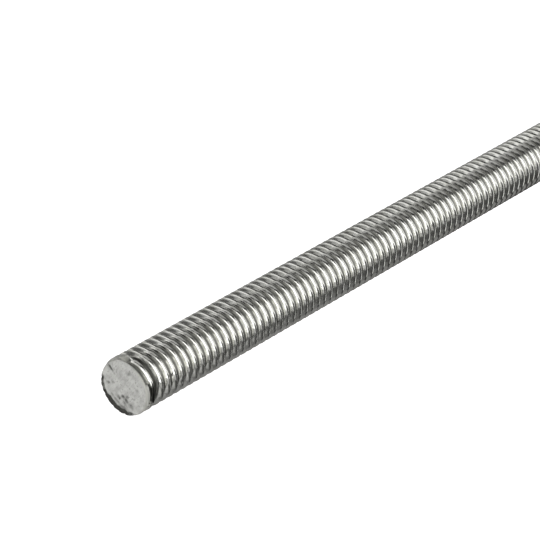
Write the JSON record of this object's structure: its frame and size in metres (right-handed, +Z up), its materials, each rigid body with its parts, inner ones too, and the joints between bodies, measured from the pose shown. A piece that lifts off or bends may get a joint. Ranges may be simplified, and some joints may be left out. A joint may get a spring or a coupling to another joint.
{
  "type": "threaded rod",
  "caption": "Short steel threaded rod, M6 x 1 by 100 mm, with one right-hand thread over its whole length and square cut ends.",
  "frame": {"origin": "centre of the near end face, on the rod's axis", "axes": "+X along the rod from the near end to the far end; the rod lies level, +Z up"},
  "size_m": [0.1, 0.0058, 0.006],
  "materials": {
    "steel": "bright rolled steel, cut ends duller"
  },
  "bodies": {
    "root": {"rod": "steel"}
  },
  "joints": []
}
